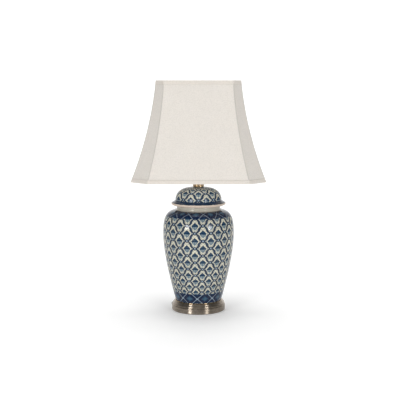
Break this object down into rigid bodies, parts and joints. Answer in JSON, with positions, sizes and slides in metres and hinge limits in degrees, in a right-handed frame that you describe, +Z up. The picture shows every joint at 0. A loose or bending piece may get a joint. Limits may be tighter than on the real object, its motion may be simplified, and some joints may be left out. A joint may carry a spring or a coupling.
{
  "type": "table lamp with shade",
  "caption": "Blue and white ceramic temple jar lamp on a stepped round metal base, with a harp and a rectangular bell shade that has cut corners.",
  "frame": {"origin": "centre of the underside of the felt, on the lamp's axis", "axes": "+Z up, +X to the lamp's right seen from the front, the front faces -Y"},
  "size_m": [0.3676, 0.2576, 0.643],
  "materials": {
    "felt": "matt felt",
    "antique_brass": "brushed, antiqued, clear lacquer",
    "iron": "rough casting",
    "zinc_steel": "zinc plated",
    "black_plastic": "satin",
    "gold_brass": "polished",
    "blue_white_glaze": "crackled clear glaze over cobalt painting",
    "rubber": "matt",
    "cardboard": "pressed fibre",
    "phenolic": "moulded",
    "nickel": "bright",
    "frosted_glass": "etched inside",
    "white_wire": "white enamel",
    "linen": "fine plain weave on a stiff backing",
    "lining": "smooth white lining",
    "tape": "folded self-fabric tape"
  },
  "bodies": {
    "lamp": {"foot_felt": "felt", "base_shell": "antique_brass", "base_weight": "iron", "rod_nut": "zinc_steel", "lock_washer": "zinc_steel", "cord_bush": "black_plastic", "jar_seat_ring": "gold_brass", "jar": "blue_white_glaze", "threaded_rod": "zinc_steel", "lid": "blue_white_glaze", "lid_gasket": "rubber", "neck": "gold_brass", "clamp_nut": "gold_brass", "harp_saddle": "gold_brass", "socket_cap": "gold_brass", "socket_set_screw": "zinc_steel", "socket_shell": "gold_brass", "socket_liner": "cardboard", "socket_interior": "phenolic", "screw_shell": "nickel", "centre_contact": "gold_brass", "live_screw": "gold_brass", "neutral_screw": "zinc_steel", "harp_wire": "gold_brass", "harp_boss": "gold_brass"},
    "switch": {"switch_stem": "gold_brass", "switch_knob": "black_plastic"},
    "bulb": {"bulb_globe": "frosted_glass", "bulb_cap": "nickel", "bulb_tip": "nickel"},
    "sleeve_left": {"harp_sleeve_left": "gold_brass"},
    "sleeve_right": {"harp_sleeve_right": "gold_brass"},
    "finial": {"finial": "gold_brass"},
    "shade": {"spider": "white_wire", "frame_top_ring": "white_wire", "frame_bottom_ring": "white_wire", "strut_1": "white_wire", "strut_2": "white_wire", "strut_3": "white_wire", "strut_4": "white_wire", "strut_5": "white_wire", "strut_6": "white_wire", "strut_7": "white_wire", "strut_8": "white_wire", "panel_front": "linen", "panel_right": "linen", "panel_back": "linen", "panel_left": "linen", "panel_front_right": "linen", "panel_back_right": "linen", "panel_back_left": "linen", "panel_front_left": "linen", "shade_lining": "lining", "shade_seams": "tape", "top_trim": "tape", "bottom_trim": "tape"}
  },
  "joints": [
    {"name": "shade_turn", "type": "hinge", "parent": "lamp", "child": "shade", "pos_m": [0, 0, 0.6115], "axis": [0, 0, 1], "continuous": true},
    {"name": "finial_turn", "type": "hinge", "parent": "lamp", "child": "finial", "pos_m": [0, 0, 0.618], "axis": [0, 0, 1], "continuous": true},
    {"name": "bulb_out", "type": "slide", "parent": "lamp", "child": "bulb", "axis": [0, 0, 1], "range_m": [0, 0.028]},
    {"name": "switch_turn", "type": "hinge", "parent": "lamp", "child": "switch", "pos_m": [0, -0.02, 0.3946], "axis": [0, -1, 0], "continuous": true},
    {"name": "sleeve_left_lift", "type": "slide", "parent": "lamp", "child": "sleeve_left", "axis": [0, 0, 1], "range_m": [0, 0.012]},
    {"name": "sleeve_right_lift", "type": "slide", "parent": "lamp", "child": "sleeve_right", "axis": [0, 0, 1], "range_m": [0, 0.012]}
  ]
}
